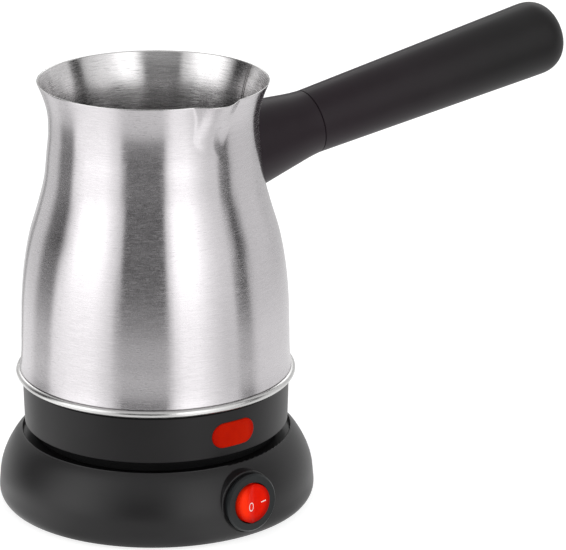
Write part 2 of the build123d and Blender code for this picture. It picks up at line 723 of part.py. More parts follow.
with BuildPart() as socket_ring_earth:
    with BuildSketch(Plane.XZ):
        with BuildLine():
            Polyline((11.6, 29.4), (12.2, 29.4), (12.2, 38.2), (11.6, 38.2), close=True)
        make_face()
    revolve(axis=Axis.Z)
    with BuildSketch(Plane.XY.offset(37.8)):
        with Locations((-11.9, 0)):
            Rectangle(0.6, 4.0)
    extrude(amount=6.2)
socket_ring_earth.part.label = "socket_ring_earth"

# ---------------------------------------------------------------------- pot wires
with BuildPart() as pot_wire_fuse:
    with BuildLine() as fuse_path:
        FilletPolyline((9.6, 0, 42.6), (14.5, 2.5, 43.5), (16.5, 12, 46.5), (15.0, 19.6, 49.8), (9.2, 19.6, 50.6), radius=1.6)
    with BuildSketch(Plane(origin=fuse_path.line @ 0, z_dir=fuse_path.line % 0)):
        Circle(0.9)
    sweep()
pot_wire_fuse.part.label = "pot_wire_fuse"

with BuildPart() as lamp_wire:
    with BuildLine() as lamp_path:
        FilletPolyline((at(153.0, 30.0)[0] + 1.4, at(153.0, 30.0)[1], 41.5), (26, 20, 40.5), (33, -2, 39.5), (24, -28, 40.0), (9.9, -44.2, 41.2), radius=3.0)
    with BuildSketch(Plane(origin=lamp_path.line @ 0, z_dir=lamp_path.line % 0)):
        Circle(0.8)
    sweep()
lamp_wire.part.label = "lamp_wire"

# ======================================================================== HANDLE
ht = radians(HANDLE_TILT)
h_org = Vector(0, 0, HANDLE_Z)
h_dir = Vector(cos(ht), 0, sin(ht))
h_up = Vector(-sin(ht), 0, cos(ht))
h_side = Plane(origin=h_org, x_dir=h_dir, z_dir=(0, -1, 0))
h_axis = Axis(h_org, h_dir)


def h_plane(t):
    """Plane across the handle axis, t along it from the pot axis."""
    return Plane(origin=h_org + h_dir * t, x_dir=(0, 1, 0), z_dir=h_dir)


# plain outer body of the pot wall, grown by a clearance, used to shape the parts that meet it
def grown(gap):
    return [(0, 100.0)] + [(pot_r(z) + gap, z) for z in (100, 104, 108, 112, 116, 120, 124, 128, 132, 136, 140, 144, 148, 152, 156, 160, 164, 168, 172, 176)] + [(0, 176.0)]


with BuildPart() as handle_neck:
    with BuildSketch(h_side):
        with BuildLine():
            Polyline((34.0, 0), (34.0, 19.4))
            Spline((34.0, 19.4), (44.0, 17.9), (50.0, 17.0), (57.0, 15.9), (63.5, 14.9), (69.5, 14.0), (SEAM_T - 0.3, GRIP_R0 + 0.03))
            Polyline((SEAM_T - 0.3, GRIP_R0 + 0.03), (SEAM_T, GRIP_R0 - 0.45), (SEAM_T, 9.0), (SEAM_T + 2.8, 9.0), (SEAM_T + 2.8, 0), (34.0, 0))
        make_face()
    revolve(axis=h_axis)
    with BuildSketch(h_side):
        with BuildLine():
            Polyline((33.0, 0), (33.0, 16.6), (44.0, 15.2), (57.0, 13.2), (69.0, 11.4), (71.8, 9.0), (71.8, 0), close=True)
        make_face()
    revolve(axis=h_axis, mode=Mode.SUBTRACT)
    with BuildSketch(h_plane(70.0)):
        Circle(2.2)
    extrude(amount=10, mode=Mode.SUBTRACT)
    with BuildSketch(Plane.XZ):
        with BuildLine():
            Polyline(*grown(0.15), close=True)
        make_face()
    revolve(axis=Axis.Z, mode=Mode.SUBTRACT)
handle_neck.part.label = "handle_neck"

with BuildPart() as handle_bracket:
    with BuildSketch(h_plane(36.0)):
        Circle(11.5)
    extrude(amount=22)
    with BuildSketch(Plane.XZ):
        with BuildLine():
            Polyline(*grown(1.5), close=True)
        make_face()
    revolve(axis=Axis.Z, mode=Mode.INTERSECT)
    with BuildSketch(h_plane(42.0)):
        Circle(5.0)
    extrude(amount=29.6)
    with BuildSketch(h_plane(50.0)):
        Circle(1.75)
    extrude(amount=24, mode=Mode.SUBTRACT)
    with BuildSketch(Plane.XZ):
        with BuildLine():
            Polyline(*grown(0.05), close=True)
        make_face()
    revolve(axis=Axis.Z, mode=Mode.SUBTRACT)
handle_bracket.part.label = "handle_bracket"

dome = [(188.0, GRIP_R1 - 0.05), (193.0, 15.6), (197.0, 14.0), (200.0, 10.6), (201.6, 5.6), (GRIP_END_T, 0)]
with BuildPart() as handle_grip:
    with BuildSketch(h_side):
        with BuildLine():
            Polyline((SEAM_T, 0), (SEAM_T, GRIP_R0 - 0.45), (SEAM_T + 0.3, GRIP_R0), (188.0, GRIP_R1 - 0.05))
            Spline(*dome, tangents=((1, 0.01), (0, -1)))
            Line((GRIP_END_T, 0), (SEAM_T, 0))
        make_face()
    revolve(axis=h_axis)
    with BuildSketch(h_plane(SEAM_T)):
        Circle(9.1)
    extrude(amount=3.0, mode=Mode.SUBTRACT)
    with BuildSketch(h_plane(SEAM_T)):
        Circle(2.2)
    extrude(amount=125, mode=Mode.SUBTRACT)
    with BuildSketch(h_plane(184.0)):
        Circle(6.12)
    extrude(amount=25, mode=Mode.SUBTRACT)
handle_grip.part.label = "handle_grip"

with BuildPart() as handle_rod:
    with BuildSketch(h_plane(54.0)):
        Circle(2.0)
    extrude(amount=135.0)
handle_rod.part.label = "handle_rod"

with BuildPart() as handle_nut:
    with BuildSketch(h_plane(184.0)):
        RegularPolygon(5.6, 6)
        Circle(2.0, mode=Mode.SUBTRACT)
    extrude(amount=3.4)
handle_nut.part.label = "handle_nut"

with BuildPart() as handle_cap:
    with BuildSketch(h_side):
        with BuildLine():
            Polyline((191.5, 0), (191.5, 15.6), (193.0, 15.6))
            Spline(*dome[1:], tangents=((1, -0.15), (0, -1)))
            Line((GRIP_END_T, 0), (191.5, 0))
        make_face()
    revolve(axis=h_axis)
    with BuildSketch(h_plane(191.0)):
        Circle(5.9)
    extrude(amount=20, mode=Mode.INTERSECT)
    with BuildSketch(h_plane(191.0)):
        Circle(4.4)
    extrude(amount=6, mode=Mode.SUBTRACT)
handle_cap.part.label = "handle_cap"

# ======================================================================== EXPORT
PARTS = {
    "base_housing": base_housing, "base_cover": base_cover, "rubber_feet": rubber_feet,
    "base_screws": base_screws, "cord_gland": cord_gland, "connector_hub": connector_hub,
    "hub_live_contact": hub_live_contact, "hub_neutral_contact": hub_neutral_contact,
    "hub_earth_contact": hub_earth_contact, "switch_housing": switch_housing,
    "switch_terminal_in": switch_terminal_in, "switch_terminal_out": switch_terminal_out,
    "rocker": rocker, "rocker_plunger": rocker_plunger, "rocker_spring": rocker_spring,
    "contact_lever": contact_lever, "base_wire_live": base_wire_live,
    "base_wire_neutral": base_wire_neutral, "base_wire_load": base_wire_load,
    "pot_shell": pot_wall, "pot_floor": pot_floor, "pot_gasket": pot_gasket,
    "pot_ring": pot_ring, "indicator_lens": indicator_lens, "neon_lamp": neon_lamp,
    "pot_base_cover": pot_base_cover, "pot_studs": pot_studs, "pot_screws": pot_screws,
    "heat_plate": heat_plate, "heating_element": heating_element, "thermostat": thermostat,
    "thermal_fuse": thermal_fuse, "pot_socket": pot_socket, "socket_pin": socket_pin,
    "socket_ring_neutral": socket_ring_neutral, "socket_ring_earth": socket_ring_earth,
    "pot_wire_fuse": pot_wire_fuse, "lamp_wire": lamp_wire,
    "handle_neck": handle_neck, "handle_bracket": handle_bracket, "handle_grip": handle_grip,
    "handle_rod": handle_rod, "handle_nut": handle_nut, "handle_cap": handle_cap,
}
for name, made in PARTS.items():
    made.part.label = name
    export_step(made.part, f"parts/{name}.step")
print("switch plane origin", sw.origin, "out", sw.z_dir, "up", sw.y_dir, "right", sw.x_dir)
print("lever pivot", lv0.origin)
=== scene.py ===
from math import sin, cos, tan, radians, degrees, pi, atan2, exp, sqrt

import bpy
from mathutils import Matrix, Vector


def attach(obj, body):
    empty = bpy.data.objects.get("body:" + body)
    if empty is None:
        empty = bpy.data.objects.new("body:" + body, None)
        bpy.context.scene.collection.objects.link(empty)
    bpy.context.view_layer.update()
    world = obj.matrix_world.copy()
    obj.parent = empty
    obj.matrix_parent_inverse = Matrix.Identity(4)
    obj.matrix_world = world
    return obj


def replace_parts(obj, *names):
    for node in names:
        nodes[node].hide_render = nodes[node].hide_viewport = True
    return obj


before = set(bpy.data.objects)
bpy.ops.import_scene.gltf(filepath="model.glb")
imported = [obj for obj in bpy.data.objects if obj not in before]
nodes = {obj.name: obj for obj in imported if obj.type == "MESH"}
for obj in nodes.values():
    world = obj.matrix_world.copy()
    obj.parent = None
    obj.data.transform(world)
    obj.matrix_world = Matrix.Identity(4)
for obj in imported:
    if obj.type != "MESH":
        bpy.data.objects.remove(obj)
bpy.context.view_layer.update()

MM = 0.001
scene = bpy.context.scene

# ----------------------------------------------------------------------- camera
cam_data = bpy.data.cameras.new("camera")
cam = bpy.data.objects.new("camera", cam_data)
scene.collection.objects.link(cam)
C_POS = Vector((-0.605133, -1.048121, 0.497278))
C_FWD = Vector((0.50929958, 0.80045982, -0.31603484))
C_RIGHT = Vector((0.84437194, -0.53574405, 0.00378659))
C_UP = Vector((0.16628277, 0.26877946, 0.94874003))
m = Matrix.Identity(4)
for i in range(3):
    m[i][0], m[i][1], m[i][2], m[i][3] = C_RIGHT[i], C_UP[i], -C_FWD[i], C_POS[i]
cam.matrix_world = m
cam_data.sensor_fit = "HORIZONTAL"
cam_data.sensor_width = 36.0
cam_data.lens = 199.02
cam_data.clip_start = 0.05
cam_data.clip_end = 60.0
scene.camera = cam

scene.view_settings.view_transform = "Standard"
scene.view_settings.look = "None"
scene.view_settings.exposure = 0.0
scene.view_settings.gamma = 1.0


# ---------------------------------------------------------------- node helpers
class Graph:
    """Small helper that adds nodes to a material or world tree."""

    def __init__(self, owner):
        owner.use_nodes = True
        self.tree = owner.node_tree
        self.tree.nodes.clear()

    def add(self, kind, **values):
        n = self.tree.nodes.new(kind)
        for k, v in values.items():
            setattr(n, k, v)
        return n

    def link(self, a, b):
        self.tree.links.new(a, b)

    def put(self, socket, value):
        if isinstance(value, bpy.types.NodeSocket):
            self.link(value, socket)
        else:
            socket.default_value = value

    def math(self, op, a, b=None, c=None, clamp=False):
        n = self.add("ShaderNodeMath", operation=op, use_clamp=clamp)
        for s, v in zip(n.inputs, (a, b, c)):
            if v is not None:
                self.put(s, v)
        return n.outputs[0]

    def vmath(self, op, a, b=None):
        n = self.add("ShaderNodeVectorMath", operation=op)
        for s, v in zip(n.inputs, (a, b)):
            if v is not None:
                self.put(s, v)
        return n.outputs["Value"] if op in ("DOT_PRODUCT", "LENGTH") else n.outputs[0]

    def remap(self, value, a0, a1, b0, b1):
        n = self.add("ShaderNodeMapRange")
        self.put(n.inputs["Value"], value)
        for k, v in (("From Min", a0), ("From Max", a1), ("To Min", b0), ("To Max", b1)):
            n.inputs[k].default_value = v
        return n.outputs["Result"]

    def ramp(self, fac, stops, mode="LINEAR"):
        n = self.add("ShaderNodeValToRGB")
        self.put(n.inputs["Fac"], fac)
        cr = n.color_ramp
        cr.interpolation = mode
        while len(cr.elements) > 1:
            cr.elements.remove(cr.elements[-1])
        cr.elements[0].position = stops[0][0]
        cr.elements[0].color = rgba(stops[0][1])
        for p, c in stops[1:]:
            e = cr.elements.new(p)
            e.color = rgba(c)
        return n.outputs["Color"]

    def mapped(self, scale, location=(0, 0, 0), rotation=(0, 0, 0)):
        tc = self.add("ShaderNodeTexCoord")
        mp = self.add("ShaderNodeMapping")
        mp.inputs["Location"].default_value = location
        mp.inputs["Rotation"].default_value = rotation
        mp.inputs["Scale"].default_value = scale
        self.link(tc.outputs["Object"], mp.inputs["Vector"])
        return mp.outputs["Vector"]

    def noise(self, vector, scale=1.0, detail=2.0, rough=0.5, distortion=0.0):
        n = self.add("ShaderNodeTexNoise")
        self.link(vector, n.inputs["Vector"])
        n.inputs["Scale"].default_value = scale
        n.inputs["Detail"].default_value = detail
        n.inputs["Roughness"].default_value = rough
        n.inputs["Distortion"].default_value = distortion
        return n.outputs["Fac"]

    def mix(self, fac, a, b, blend="MIX"):
        n = self.add("ShaderNodeMix", data_type="RGBA", blend_type=blend)
        self.put(n.inputs[0], fac)
        self.put(n.inputs[6], rgba(a) if not isinstance(a, bpy.types.NodeSocket) else a)
        self.put(n.inputs[7], rgba(b) if not isinstance(b, bpy.types.NodeSocket) else b)
        return n.outputs[2]

    def bump(self, height, distance, strength=1.0, normal=None):
        n = self.add("ShaderNodeBump")
        self.link(height, n.inputs["Height"])
        n.inputs["Distance"].default_value = distance
        n.inputs["Strength"].default_value = strength
        if normal is not None:
            self.link(normal, n.inputs["Normal"])
        return n.outputs["Normal"]


def rgba(c):
    if isinstance(c, (int, float)):
        return (c, c, c, 1.0)
    return tuple(c) + (1.0,) if len(c) == 3 else tuple(c)


def principled(name):
    mat = bpy.data.materials.new(name)
    g = Graph(mat)
    out = g.add("ShaderNodeOutputMaterial")
    p = g.add("ShaderNodeBsdfPrincipled")
    g.link(p.outputs["BSDF"], out.inputs["Surface"])
    return mat, g, p


# ------------------------------------------------------------------- materials
def plastic(name, base, light, rough, grain=0.00016, bump=0.000012, spec=0.5, coat=0.0, blotch=0.02, painted_pot_reflection=None):
    """Moulded plastic: spark-eroded grain in the bump, faint broad colour and gloss change. The last argument (x0, x1,
    base, light)
    is painted reflection of the pot: a lighter, pinker tone up to x0 along X that runs out at x1."""
    mat, g, p = principled(name)
    broad = g.noise(g.mapped((1, 1, 1)), scale=1.0 / blotch, detail=3.0)
    fine = g.noise(g.mapped((1, 1, 1)), scale=1.0 / grain, detail=2.0, rough=0.6)
    p.inputs["Specular IOR Level"].default_value = spec
    p.inputs["Coat Weight"].default_value = coat
    patch = g.ramp(broad, [(0.3, 0.0), (0.7, 1.0)])
    colour = g.mix(patch, base, light)
    # painted reflection of the pot: a lighter, pinker tone near the pot along X, running out further along
    if painted_pot_reflection:
        tc = g.add("ShaderNodeTexCoord")
        along = g.vmath("DOT_PRODUCT", tc.outputs["Object"], (1.0, 0.0, 0.0))
        colour = g.mix(g.remap(along, painted_pot_reflection[0], painted_pot_reflection[1], 0.0, 1.0), g.mix(patch, painted_pot_reflection[2], painted_pot_reflection[3]), colour)
    g.link(colour, p.inputs["Base Color"])
    g.link(g.math("ADD", g.math("MULTIPLY", fine, 0.10), g.math("ADD", g.math("MULTIPLY", broad, 0.06), rough - 0.08)), p.inputs["Roughness"])
    g.link(g.bump(fine, bump), p.inputs["Normal"])
    return mat


def brushed(name, base, rough, aniso, along=160.0, across=2600.0, radial=False, streak=0.10, bump=0.000004, weld=False, vary=0.10, scratch=0.0, shade=None):
    """Metal brushed round the Z axis: long thin scratches, so light spreads up and down."""
    mat, g, p = principled(name)
    p.inputs["Metallic"].default_value = 1.0
    if radial:
        tc = g.add("ShaderNodeTexCoord")
        sep = g.add("ShaderNodeSeparateXYZ")
        g.link(tc.outputs["Object"], sep.inputs[0])
        r = g.math("SQRT", g.math("ADD", g.math("MULTIPLY", sep.outputs[0], sep.outputs[0]), g.math("MULTIPLY", sep.outputs[1], sep.outputs[1])))
        a = g.math("ARCTAN2", sep.outputs[1], sep.outputs[0])
        comb = g.add("ShaderNodeCombineXYZ")
        g.link(g.math("MULTIPLY", r, across), comb.inputs[0])
        g.link(g.math("MULTIPLY", a, 5.0), comb.inputs[1])
        v1 = comb.outputs[0]
        comb2 = g.add("ShaderNodeCombineXYZ")
        g.link(g.math("MULTIPLY", r, across * 3.1), comb2.inputs[0])
        g.link(g.math("MULTIPLY", a, 9.0), comb2.inputs[1])
        v2 = comb2.outputs[0]
    else:
        v1 = g.mapped((along, along, across))
        v2 = g.mapped((along * 2.2, along * 2.2, across * 3.1), location=(3.1, 1.7, 0.4))
    s1 = g.noise(v1, detail=3.0, rough=0.6)
    s2 = g.noise(v2, detail=2.0, rough=0.55)
    both = g.math("ADD", g.math("MULTIPLY", s1, 0.6), g.math("MULTIPLY", s2, 0.4))
    # a few deeper scratches
    deep = g.ramp(s1, [(0.0, 0.0), (0.63, 0.0), (0.72, 1.0)])
    broad = g.noise(g.mapped((1, 1, 1)), scale=28.0, detail=2.0)
    hi = tuple(min(1.0, c * (1 + streak)) for c in base)
    lo = tuple(c * (1 - streak) for c in base)
    colour = g.mix(g.ramp(both, [(0.35, 0.0), (0.65, 1.0)]), lo, hi)
    if weld:
        # two fine dark lines, one each side of the lengthwise weld on +X
        tc = g.add("ShaderNodeTexCoord")
        sep = g.add("ShaderNodeSeparateXYZ")
        g.link(tc.outputs["Object"], sep.inputs[0])
        off = g.math("ABSOLUTE", g.math("SUBTRACT", g.math("ABSOLUTE", sep.outputs[1]), 0.00058))
        line = g.ramp(g.remap(off, 0.0, 0.0005, 0.0, 1.0), [(0.0, 1.0), (0.36, 0.8), (0.8, 0.0)])
        heat = g.ramp(g.remap(g.math("ABSOLUTE", sep.outputs[1]), 0.0, 0.004, 0.0, 1.0), [(0.0, 0.35), (0.2, 0.25), (1.0, 0.0)])
        side = g.math("GREATER_THAN", sep.outputs[0], 0.0)
        colour = g.mix(g.math("MULTIPLY", heat, side), colour, (0.30, 0.28, 0.27))
        colour = g.mix(g.math("MULTIPLY", line, side), colour, (0.060, 0.055, 0.055))
    if shade is not None:
        # painted shade: darker deeper down, standing in for the light that falls off inside the pot
        tc = g.add("ShaderNodeTexCoord")
        sep = g.add("ShaderNodeSeparateXYZ")
        g.link(tc.outputs["Object"], sep.inputs[0])
        z_fac = g.remap(sep.outputs[2], shade[0], shade[1], 0.0, 1.0)
        colour = g.mix(g.ramp(z_fac, [(0.0, shade[2]), (1.0, 1.0)], "EASE"), 0.0, colour)
    rr = g.math("ADD", g.math("MULTIPLY", both, vary), g.math("ADD", g.math("MULTIPLY", broad, 0.03), rough - 0.015 - vary / 2))
    if scratch:
        fine = g.ramp(s2, [(0.0, 0.0), (0.56, 0.0), (0.66, 1.0)])
        rr = g.math("ADD", rr, g.math("MULTIPLY", fine, scratch))
    g.link(colour, p.inputs["Base Color"])
    g.link(rr, p.inputs["Roughness"])
    p.inputs["Anisotropic"].default_value = aniso
    p.inputs["Anisotropic Rotation"].default_value = 0.25
    tan_n = g.add("ShaderNodeTangent", direction_type="RADIAL", axis="Z")
    g.link(tan_n.outputs[0], p.inputs["Tangent"])
    h = g.math("ADD", both, g.math("MULTIPLY", deep, 0.8))
    g.link(g.bump(h, bump), p.inputs["Normal"])
    return mat


def metal(name, base, rough, scale=900.0, tint=0.08, bump=0.000006, dark=None, blotch=60.0):
    """Plain sheet or turned metal: fine mottling, a little tarnish."""
    mat, g, p = principled(name)
    p.inputs["Metallic"].default_value = 1.0
    f = g.noise(g.mapped((1, 1, 1)), scale=scale, detail=3.0)
    b = g.noise(g.mapped((1, 1, 1)), scale=blotch, detail=3.0)
    dark = dark or tuple(c * (1 - 3 * tint) for c in base)
    g.link(g.mix(g.ramp(b, [(0.42, 0.0), (0.75, 1.0)]), base, dark), p.inputs["Base Color"])
    g.link(g.math("ADD", g.math("MULTIPLY", f, 0.14), g.math("ADD", g.math("MULTIPLY", b, 0.10), rough - 0.12)), p.inputs["Roughness"])
    g.link(g.bump(f, bump), p.inputs["Normal"])
    return mat


def red_plastic(name, base, deep, painted_glow, rough, sss, painted_glow_strength, spec, centre, reach, rim, blotch, painted_lit_half=None):
    """Tinted see-through plastic with painted glow (a faint emission of its own) and painted shade (deeper red near its
    edge).
    """
    mat, g, p = principled(name)
    broad = g.noise(g.mapped((1, 1, 1)), scale=blotch, detail=2.0)
    fine = g.noise(g.mapped((1, 1, 1)), scale=2600.0, detail=2.0)
    tc = g.add("ShaderNodeTexCoord")
    off = g.vmath("LENGTH", g.vmath("SUBTRACT", tc.outputs["Object"], centre))
    # painted shade: the colour runs to a deeper red towards the edge
    edge = g.ramp(g.remap(off, reach[0], reach[1], 0.0, 1.0), [(0.0, 0.0), (1.0, 1.0)], "EASE")
    body = g.mix(g.ramp(broad, [(0.3, 0.0), (0.7, 1.0)]), base, deep)
    colour = g.mix(edge, body, rim)
    # painted glow: a faint emission of the plastic's own
    p.inputs["Emission Color"].default_value = rgba(painted_glow)
    if painted_lit_half:
        # painted light: one half is made lighter and given more painted glow, standing in for the light that falls on
        # it
        across = g.vmath("DOT_PRODUCT", g.vmath("SUBTRACT", tc.outputs["Object"], centre), (1.0, 0.0, 0.0))
        lit_half_mask = g.math("MULTIPLY", g.ramp(g.remap(across, painted_lit_half[0], painted_lit_half[1], 0.0, 1.0), [(0.0, 1.0), (1.0, 0.0)], "EASE"), g.math("SUBTRACT", 1.0, edge))
        colour = g.mix(lit_half_mask, colour, painted_lit_half[2])
        g.link(g.mix(lit_half_mask, painted_glow, painted_lit_half[3]), p.inputs["Emission Color"])
    g.link(colour, p.inputs["Base Color"])
    g.link(g.math("ADD", g.math("MULTIPLY", fine, 0.06), rough - 0.03), p.inputs["Roughness"])
    p.inputs["Subsurface Weight"].default_value = sss
    p.inputs["Subsurface Radius"].default_value = (0.004, 0.0004, 0.0002)
    p.inputs["Subsurface Scale"].default_value = 1.0
    p.inputs["Specular IOR Level"].default_value = spec
    p.inputs["Emission Strength"].default_value = painted_glow_strength
    g.link(g.bump(fine, 0.000003), p.inputs["Normal"])
    return mat


STEEL = brushed("steel_brushed", (0.640, 0.617, 0.634), 0.212, 1.0, streak=0.07, bump=0.000006, vary=0.15, scratch=0.13)
# inside: painted shade makes it darker deeper down
STEEL_IN = brushed("steel_brushed_inside", (0.70, 0.688, 0.692), 0.24, 0.98, along=90.0, across=1500.0, streak=0.16, bump=0.000009, weld=True, vary=0.16, scratch=0.12, shade=(0.150, 0.163, 0.72))
STEEL_FLOOR = brushed("steel_turned_floor", (0.50, 0.49, 0.48), 0.30, 0.85, across=2300.0, radial=True)
STEEL_BEAD = brushed("steel_bead", (0.64, 0.635, 0.63), 0.24, 0.4, streak=0.05)
BLACK_BASE = plastic("plastic_black_base", (0.0074, 0.0069, 0.0074), (0.0098, 0.0092, 0.0099), 0.39, spec=0.39)
BLACK_RING = plastic("plastic_black_ring", (0.0058, 0.0052, 0.0056), (0.0080, 0.0072, 0.0078), 0.38, spec=0.27)
# the handle's neck is lighter and pinker near the pot: painted reflection of the steel
BLACK_HANDLE = plastic("plastic_black_handle", (0.0092, 0.0084, 0.0088), (0.0124, 0.0114, 0.0119), 0.42, grain=0.00022, bump=0.000010, spec=0.21,
                       painted_pot_reflection=(0.085, 0.165, (0.0140, 0.0082, 0.0118), (0.0176, 0.0112, 0.0152)))
BLACK_SWITCH = plastic("plastic_black_switch", (0.0085, 0.0105, 0.0112), (0.0108, 0.0130, 0.0138), 0.38, grain=0.00012, bump=0.000006, spec=0.27)
# near-black plastic of the inner parts and the pot's bottom cover; its extra darkness is partly painted shade for the
# gap between ring and base, where the cover shows
BLACK_INNER = plastic("plastic_black_inner", (0.0040, 0.0040, 0.0042), (0.0060, 0.0060, 0.0063), 0.70, grain=0.0003, bump=0.00002, spec=0.12)
RUBBER = plastic("rubber_black", (0.015, 0.015, 0.015), (0.022, 0.022, 0.022), 0.75, grain=0.0005, bump=0.00003, spec=0.25)
SILICONE = plastic("silicone_black", (0.008, 0.008, 0.008), (0.012, 0.012, 0.012), 0.6, grain=0.0006, bump=0.00001, spec=0.3)
CERAMIC = plastic("ceramic_cream", (0.62, 0.58, 0.50), (0.72, 0.68, 0.60), 0.55, grain=0.0004, bump=0.00001)
SLEEVE = plastic("wire_sleeve_white", (0.55, 0.54, 0.50), (0.66, 0.65, 0.62), 0.5, grain=0.0005, bump=0.00002)
ZINC = metal("zinc_steel", (0.55, 0.56, 0.58), 0.38, dark=(0.36, 0.37, 0.36))
BRASS = metal("brass", (0.70, 0.50, 0.20), 0.32, dark=(0.42, 0.27, 0.10))
ALUMINIUM = metal("aluminium_cast", (0.72, 0.72, 0.73), 0.45, scale=1400.0, bump=0.00002)
SHEATH = metal("element_sheath", (0.30, 0.29, 0.28), 0.5, dark=(0.18, 0.13, 0.09))
# lens and rocker: their emission is painted glow and their deeper red edge is painted shade
LENS = red_plastic("lens_red", (0.47, 0.010, 0.0), (0.37, 0.005, 0.0), (0.6, 0.015, 0.0), 0.28, 0.06, 0.05, 0.018,
                   (0.00457, -0.0568, 0.04235), (0.0066, 0.0116), (0.33, 0.003, 0.0), 110.0)
# the rocker also has a lighter left half that glows more: painted light
ROCKER = red_plastic("rocker_red", (0.72, 0.008, 0.0), (0.60, 0.005, 0.0), (0.30, 0.004, 0.0), 0.16, 0.05, 0.20, 0.035,
                     (0.0054, -0.0663, 0.0168), (0.0054, 0.0088), (0.26, 0.001, 0.0), 150.0,
                     (-0.0054, -0.0008, (0.86, 0.020, 0.001), (0.90, 0.07, 0.020)))
INK = plastic("ink_white", (0.80, 0.74, 0.72), (0.88, 0.84, 0.82), 0.5, grain=0.0002, bump=0.000004)

lamp_mat, g, p = principled("lamp_glass")
tint = g.noise(g.mapped((1, 1, 1)), scale=300.0)
g.link(g.mix(tint, (0.9, 0.55, 0.35), (0.95, 0.75, 0.6)), p.inputs["Base Color"])
p.inputs["Transmission Weight"].default_value = 0.7
p.inputs["Roughness"].default_value = 0.08
p.inputs["IOR"].default_value = 1.5


# --------------------------------------------------------------- mesh helpers
def new_mesh(name, verts, faces, materials, smooth=True, face_mats=None, sharp_deg=None):
    me = bpy.data.meshes.new(name)
    me.from_pydata([tuple(v) for v in verts], [], faces)
    me.validate(clean_customdata=False)
    ob = bpy.data.objects.new(name, me)
    scene.collection.objects.link(ob)
    for mt in materials:
        me.materials.append(mt)
    if face_mats is not None:
        for poly, k in zip(me.polygons, face_mats):
            poly.material_index = k
    if smooth:
        me.shade_smooth()
    if sharp_deg is not None:
        me.set_sharp_from_angle(angle=radians(sharp_deg))
    me.update()
    return ob


def grid_faces(rows, cols, wrap_cols=True, wrap_rows=False, flip=False):
    faces = []
    for i in range(rows if wrap_rows else rows - 1):
        for j in range(cols if wrap_cols else cols - 1):
            a = i * cols + j
            b = i * cols + (j + 1) % cols
            c = ((i + 1) % rows) * cols + (j + 1) % cols
            d = ((i + 1) % rows) * cols + j
            faces.append((a, d, c, b) if flip else (a, b, c, d))
    return faces


# ------------------------------------------------------------------ steel body
POT_PROFILE = [
    (53.3, 55.92), (54.9, 55.9), (60.1, 55.25), (73.4, 54.8), (88.6, 54.3),
    (101.9, 52.9), (113.3, 50.7), (124.7, 47.3), (136.1, 44.4), (146.6, 43.2),
    (156.1, 42.3), (164.7, 42.7), (171.3, 44.5), (176.7, 46.7),
]


LOBE_LEFT = [(150.0, 7.0), (154.0, 4.0), (156.0, -2.0), (158.0, -5.6), (160.0, -8.0), (166.0, -8.8), (171.0, -9.0), (176.7, -11.0)]
LOBE_RIGHT = [(150.0, 9.5), (154.0, 9.5), (158.5, 10.8), (165.0, 14.2), (170.0, 16.3), (176.7, 17.8)]


def step_curve(p, z):
    """Cubic curve through the points p."""
    n = len(p)
    h = [p[i + 1][0] - p[i][0] for i in range(n - 1)]
    s = [(p[i + 1][1] - p[i][1]) / h[i] for i in range(n - 1)]
    t = [s[0]] + [(s[i - 1] * h[i] + s[i] * h[i - 1]) / (h[i - 1] + h[i]) for i in range(1, n - 1)] + [s[-1]]
    if z <= p[0][0]:
        return p[0][1]
    if z >= p[-1][0]:
        return p[-1][1] + t[-1] * (z - p[-1][0])
    i = max(k for k in range(n - 1) if p[k][0] <= z)
    u = (z - p[i][0]) / h[i]
    return ((2 * u**3 - 3 * u**2 + 1) * p[i][1] + (u**3 - 2 * u**2 + u) * h[i] * t[i]
            + (-2 * u**3 + 3 * u**2) * p[i + 1][1] + (u**3 - u**2) * h[i] * t[i + 1])


def pot_r(z):
    return step_curve(POT_PROFILE, z)


def lobe(z, az):
    """The pressed spout: a lobe that narrows downwards, with a soft crease on each side of it."""
    z0, z1 = 150.0, 176.7
    if z <= z0:
        return 0.0
    up = (z - z0) / (z1 - z0)
    left, right = step_curve(LOBE_LEFT, z), step_curve(LOBE_RIGHT, z)
    u = (az - 0.5 * (left + right)) / (0.5 * (right - left))
    out = 0.0
    if abs(u) < 1.0:
        out = 4.6 * up**2.5 * (1.0 - u * u) ** (1.7 if u < 0 else 1.9)
    # the press leaves a soft step along the left edge
    fade = max(0.0, min(1.0, (z - 155.0) / 4.0))
    k = max(0.0, min(1.0, (az - left) * 0.75 / 3.2))
    run = max(0.0, min(1.0, (right - az) / (right - left)))
    step = 0.20 * fade * fade * (3.0 - 2.0 * fade) * k * k * (3.0 - 2.0 * k) * run
    return out + step


def seam(az):
    """Two fine lines of the wall's lengthwise weld, behind the handle."""
    d = (az - 90.0 + 180.0) % 360.0 - 180.0
    arc = radians(d) * 44.0
    return 0.10 * (exp(-(((arc - 0.55) / 0.16) ** 2)) + exp(-(((arc + 0.55) / 0.16) ** 2)))


azs = set()
a = -180.0
while a < 180.0 - 1e-6:
    azs.add(round(a, 3))
    a += 1.5
a = -22.0
while a <= 28.0:
    azs.add(round(a, 3))
    a += 0.5
a = 87.0
while a <= 93.0:
    azs.add(round(a, 3))
    a += 0.14
azs = sorted(azs)

BEAD_R, BEAD_Z, BEAD_T = 55.8, 54.8, 1.5
rows = []   # each row: (kind, z, extra) ; point maker per azimuth


def wall_point(z, az, inset):
    r = pot_r(z) + lobe(z, az) - inset
    return r


outer_z = [56.6, 57.0, 57.6, 58.4, 59.4] + [60.5 + 1.5 * i for i in range(58)]      # to 146
outer_z += [147.0 + 1.0 * i for i in range(29)]                                    # 147..175
outer_z += [175.6, 176.0, 176.25]
inner_z = list(reversed([57.2, 58.0, 59.4] + [61.0 + 2.0 * i for i in range(43)] + [147.0 + 1.0 * i for i in range(29)] + [175.6, 176.0, 176.25]))

profile = []
